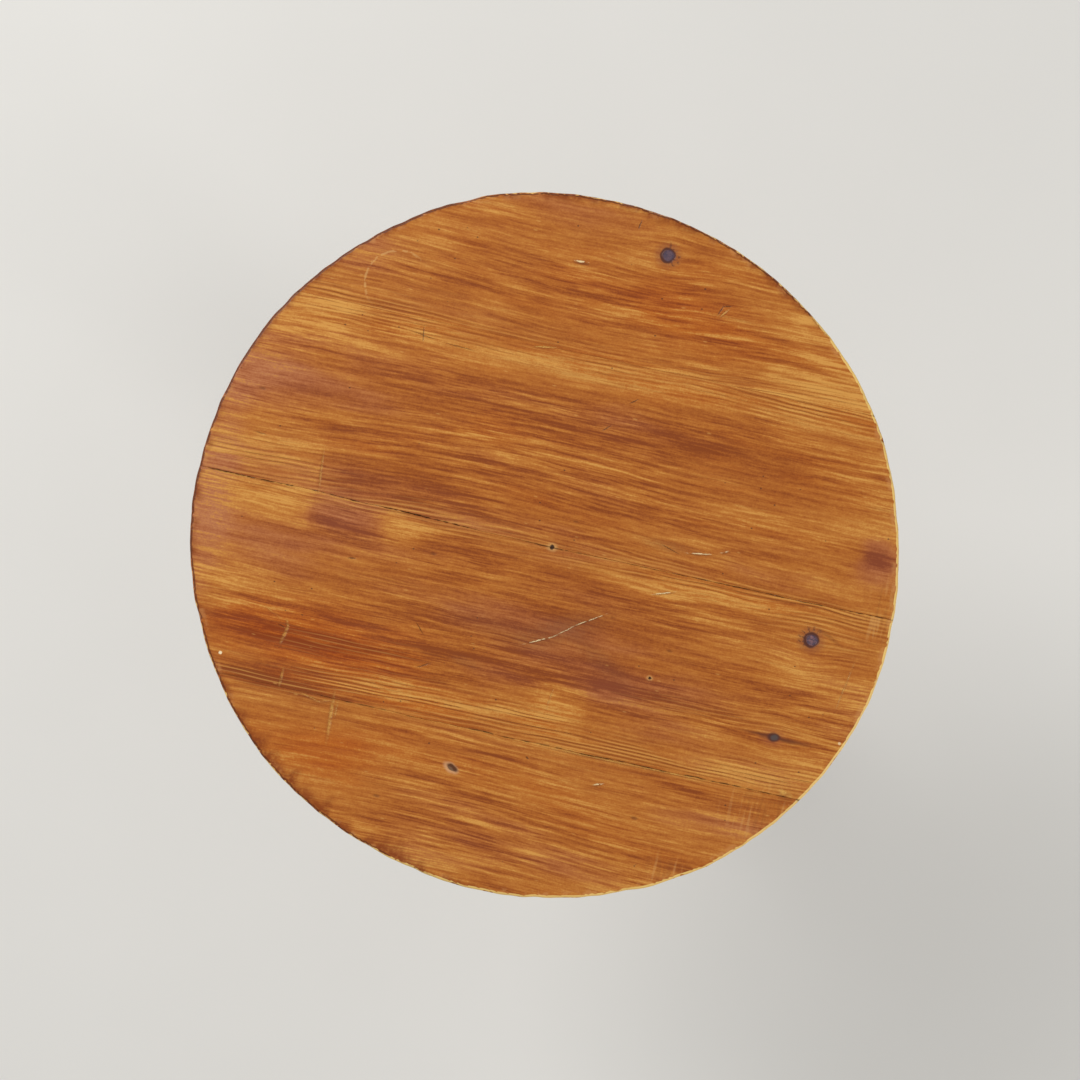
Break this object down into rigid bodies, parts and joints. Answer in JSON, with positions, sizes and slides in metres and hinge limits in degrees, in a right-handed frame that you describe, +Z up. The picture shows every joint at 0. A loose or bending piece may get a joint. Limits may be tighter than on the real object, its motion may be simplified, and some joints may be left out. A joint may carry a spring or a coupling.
{
  "type": "tilt top table",
  "caption": "Small round table with a board top that tilts upright on a turned column with three curved legs.",
  "frame": {"origin": "on the floor under the column's axis", "axes": "+Z up, +X along the grain of the top and along the tilt axis, -Y the side that the top faces when upright"},
  "size_m": [0.6, 0.5999, 0.71],
  "materials": {
    "top_wood": "worn satin varnish on pine",
    "underside_wood": "bare aged pine",
    "base_wood": "stained and waxed hardwood",
    "iron": "dark forged iron, slightly rusted"
  },
  "bodies": {
    "base": {"block": "base_wood", "pivot_pin_left": "base_wood", "pivot_pin_right": "base_wood", "column": "base_wood", "tenon_wedge": "underside_wood", "leg_back": "base_wood", "leg_left": "base_wood", "leg_right": "base_wood", "iron_brace": "iron", "brace_screws": "iron"},
    "top": {"board_front": "top_wood", "board_mid_front": "top_wood", "board_mid_back": "top_wood", "board_back": "top_wood", "cleat_left": "underside_wood", "cleat_right": "underside_wood", "cleat_screws_left": "iron", "cleat_screws_right": "iron", "button_pad": "underside_wood", "pad_screws": "iron", "button_washer": "iron", "button_screw": "iron"},
    "button": {"turn_button": "base_wood"}
  },
  "joints": [
    {"name": "top_tilt", "type": "hinge", "parent": "base", "child": "top", "pos_m": [0, -0.079, 0.674], "axis": [1, 0, 0], "range_deg": [0, 90]},
    {"name": "button_turn", "type": "hinge", "parent": "top", "child": "button", "pos_m": [0, 0.12, 0.669], "axis": [0, 0, -1], "continuous": true}
  ]
}
